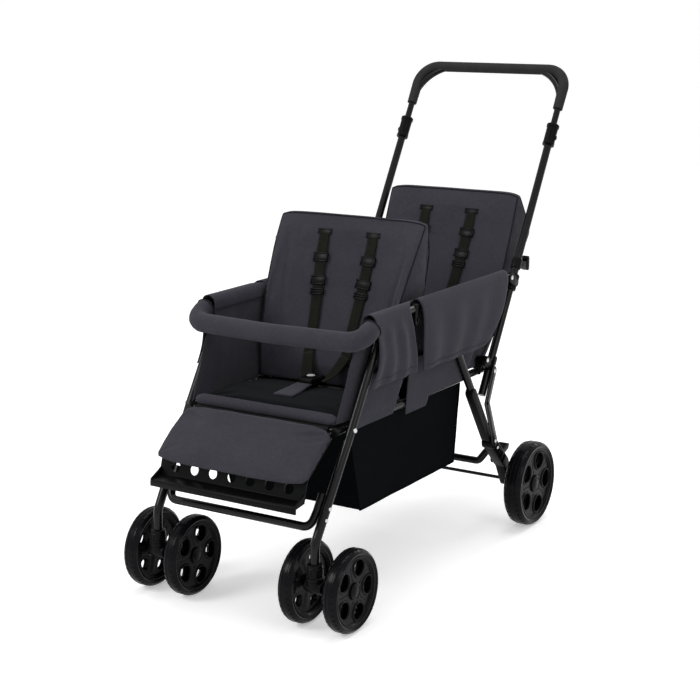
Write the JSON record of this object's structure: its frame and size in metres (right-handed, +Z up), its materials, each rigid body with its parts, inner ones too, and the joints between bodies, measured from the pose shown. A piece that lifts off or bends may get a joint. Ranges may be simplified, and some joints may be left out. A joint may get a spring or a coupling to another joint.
{
  "type": "tandem stroller",
  "caption": "Folding tandem stroller with seats in line, padded bumper bar, reclining backs, legrest, basket, swivel front wheels and a telescoping push handle.",
  "frame": {"origin": "on the floor under the middle of the bounding box", "axes": "+X is the passengers' left, -Y is forward, +Z is up"},
  "size_m": [0.559, 1.1636, 1.0559],
  "materials": {
    "black_paint": "gloss",
    "black_plastic": "satin",
    "bright_steel": "bright",
    "foam": "matt",
    "tyre": "satin",
    "grey_fabric": "woven",
    "black_fabric": "woven mesh",
    "webbing": "woven",
    "button_grey": "satin"
  },
  "bodies": {
    "seat_frame": {"seat_tube_left": "black_paint", "seat_tube_right": "black_paint", "seat_front_rod": "black_paint", "seat_rear_rod": "black_paint", "front_seat_pad": "grey_fabric", "rear_seat_pad": "grey_fabric", "front_buckle": "webbing", "rear_buckle": "webbing", "basket": "black_fabric", "front_side_panel_left": "grey_fabric", "front_side_panel_right": "grey_fabric", "rear_side_panel_left": "grey_fabric", "rear_side_panel_right": "grey_fabric", "front_hinge_rod": "black_paint", "rear_hinge_rod": "black_paint"},
    "push_frame": {"push_tube_left": "black_paint", "push_tube_right": "black_paint", "arm_bracket_left": "black_plastic", "arm_bracket_right": "black_plastic", "fold_bracket_left": "black_plastic", "fold_bracket_right": "black_plastic", "handle_sleeve_left": "black_plastic", "handle_sleeve_right": "black_plastic"},
    "handle": {"handle_tube": "black_paint", "handle_grip": "foam"},
    "handle_release_left": {"handle_button_left": "black_plastic"},
    "handle_release_right": {"handle_button_right": "black_plastic"},
    "armrest": {"armrest_tube": "black_paint", "bumper_pad": "grey_fabric"},
    "front_frame": {"front_leg_left": "black_paint", "front_leg_right": "black_paint", "front_cross_tube": "black_paint", "caster_socket_left": "black_plastic", "caster_socket_right": "black_plastic"},
    "caster_left": {"caster_fork_left": "black_plastic"},
    "caster_right": {"caster_fork_right": "black_plastic"},
    "front_wheel_left_outer_body": {"front_wheel_left_outer": "tyre"},
    "front_wheel_left_inner_body": {"front_wheel_left_inner": "tyre"},
    "front_wheel_right_outer_body": {"front_wheel_right_outer": "tyre"},
    "front_wheel_right_inner_body": {"front_wheel_right_inner": "tyre"},
    "rear_frame": {"rear_leg_left": "black_paint", "rear_leg_right": "black_paint", "rear_bracket_left": "black_plastic", "rear_bracket_right": "black_plastic", "rear_cross_tube": "black_paint", "rear_axle": "bright_steel"},
    "rear_wheel_left_body": {"rear_wheel_left": "tyre"},
    "rear_wheel_right_body": {"rear_wheel_right": "tyre"},
    "latch_left": {"fold_latch_left": "black_paint"},
    "latch_right": {"fold_latch_right": "black_paint"},
    "brake_left": {"brake_lever_left": "black_plastic"},
    "brake_right": {"brake_lever_right": "black_plastic"},
    "legrest": {"legrest_plate": "black_plastic", "calf_pad": "grey_fabric"},
    "front_back": {"front_backrest": "grey_fabric", "front_harness": "webbing"},
    "rear_back": {"rear_backrest": "grey_fabric", "rear_harness": "webbing"},
    "front_release": {"front_buckle_button": "button_grey"},
    "rear_release": {"rear_buckle_button": "button_grey"}
  },
  "joints": [
    {"name": "fold", "type": "hinge", "parent": "seat_frame", "child": "push_frame", "pos_m": [0, 0.15572, 0.412], "axis": [1, 0, 0], "range_deg": [0, 95], "deforming": ["basket", "front_side_panel_left", "front_side_panel_right", "rear_side_panel_left", "rear_side_panel_right"]},
    {"name": "front_leg_fold", "type": "hinge", "parent": "seat_frame", "child": "front_frame", "pos_m": [0, -0.41428, 0.386], "axis": [1, 0, 0], "range_deg": [0, 95]},
    {"name": "armrest_fold", "type": "hinge", "parent": "push_frame", "child": "armrest", "pos_m": [0, 0.26484, 0.588], "axis": [1, 0, 0], "range_deg": [-95, 0]},
    {"name": "rear_leg_fold", "type": "hinge", "parent": "armrest", "child": "rear_frame", "pos_m": [0, -0.04178, 0.562], "axis": [1, 0, 0], "range_deg": [0, 35.2]},
    {"name": "front_recline", "type": "hinge", "parent": "seat_frame", "child": "front_back", "pos_m": [0, -0.19528, 0.3998], "axis": [-1, 0, 0], "range_deg": [-24, 20], "deforming": ["front_harness"]},
    {"name": "rear_recline", "type": "hinge", "parent": "seat_frame", "child": "rear_back", "pos_m": [0, 0.20272, 0.3998], "axis": [-1, 0, 0], "range_deg": [-50, 35], "deforming": ["rear_harness"]},
    {"name": "legrest_lift", "type": "hinge", "parent": "seat_frame", "child": "legrest", "pos_m": [0, -0.43528, 0.386], "axis": [1, 0, 0], "range_deg": [-30, 0]},
    {"name": "handle_slide", "type": "slide", "parent": "push_frame", "child": "handle", "axis": [0, 0.5105, 0.8599], "range_m": [0, 0.09]},
    {"name": "handle_press_left", "type": "slide", "parent": "push_frame", "child": "handle_release_left", "axis": [-1, 0, 0], "range_m": [0, 0.002], "stiffness_N_per_m": 500},
    {"name": "handle_press_right", "type": "slide", "parent": "push_frame", "child": "handle_release_right", "axis": [1, 0, 0], "range_m": [0, 0.002], "stiffness_N_per_m": 500},
    {"name": "front_buckle_press", "type": "slide", "parent": "seat_frame", "child": "front_release", "axis": [0, 0, -1], "range_m": [0, 0.002], "stiffness_N_per_m": 500},
    {"name": "rear_buckle_press", "type": "slide", "parent": "seat_frame", "child": "rear_release", "axis": [0, 0, -1], "range_m": [0, 0.002], "stiffness_N_per_m": 500},
    {"name": "caster_swivel_left", "type": "hinge", "parent": "front_frame", "child": "caster_left", "pos_m": [0.1935, -0.53928, 0.112], "axis": [0, 0, 1], "continuous": true},
    {"name": "caster_swivel_right", "type": "hinge", "parent": "front_frame", "child": "caster_right", "pos_m": [-0.1935, -0.53928, 0.112], "axis": [0, 0, 1], "continuous": true},
    {"name": "front_wheel_left_outer_spin", "type": "hinge", "parent": "caster_left", "child": "front_wheel_left_outer_body", "pos_m": [0.245, -0.49128, 0.085], "axis": [1, 0, 0], "continuous": true},
    {"name": "front_wheel_left_inner_spin", "type": "hinge", "parent": "caster_left", "child": "front_wheel_left_inner_body", "pos_m": [0.142, -0.49128, 0.085], "axis": [1, 0, 0], "continuous": true},
    {"name": "front_wheel_right_outer_spin", "type": "hinge", "parent": "caster_right", "child": "front_wheel_right_outer_body", "pos_m": [-0.245, -0.49128, 0.085], "axis": [1, 0, 0], "continuous": true},
    {"name": "front_wheel_right_inner_spin", "type": "hinge", "parent": "caster_right", "child": "front_wheel_right_inner_body", "pos_m": [-0.142, -0.49128, 0.085], "axis": [1, 0, 0], "continuous": true},
    {"name": "rear_wheel_left_spin", "type": "hinge", "parent": "rear_frame", "child": "rear_wheel_left_body", "pos_m": [0.2585, 0.28672, 0.099], "axis": [1, 0, 0], "continuous": true},
    {"name": "rear_wheel_right_spin", "type": "hinge", "parent": "rear_frame", "child": "rear_wheel_right_body", "pos_m": [-0.2585, 0.28672, 0.099], "axis": [1, 0, 0], "continuous": true},
    {"name": "latch_swing_left", "type": "hinge", "parent": "rear_frame", "child": "latch_left", "pos_m": [0.199, 0.18851, 0.218], "axis": [-1, 0, 0], "range_deg": [0, 20], "stiffness_Nm_per_rad": 2},
    {"name": "latch_swing_right", "type": "hinge", "parent": "rear_frame", "child": "latch_right", "pos_m": [-0.199, 0.18851, 0.218], "axis": [-1, 0, 0], "range_deg": [0, 20], "stiffness_Nm_per_rad": 2},
    {"name": "brake_press_left", "type": "hinge", "parent": "rear_frame", "child": "brake_left", "pos_m": [0.199, 0.26072, 0.152], "axis": [-1, 0, 0], "range_deg": [0, 20]},
    {"name": "brake_press_right", "type": "hinge", "parent": "rear_frame", "child": "brake_right", "pos_m": [-0.199, 0.26072, 0.152], "axis": [-1, 0, 0], "range_deg": [0, 20]}
  ],
  "couplings": [
    {"joint": "front_leg_fold", "follows": "fold", "ratio": 1},
    {"joint": "armrest_fold", "follows": "fold", "ratio": -1},
    {"joint": "rear_leg_fold", "follows": "fold", "ratio": 0.37}
  ]
}
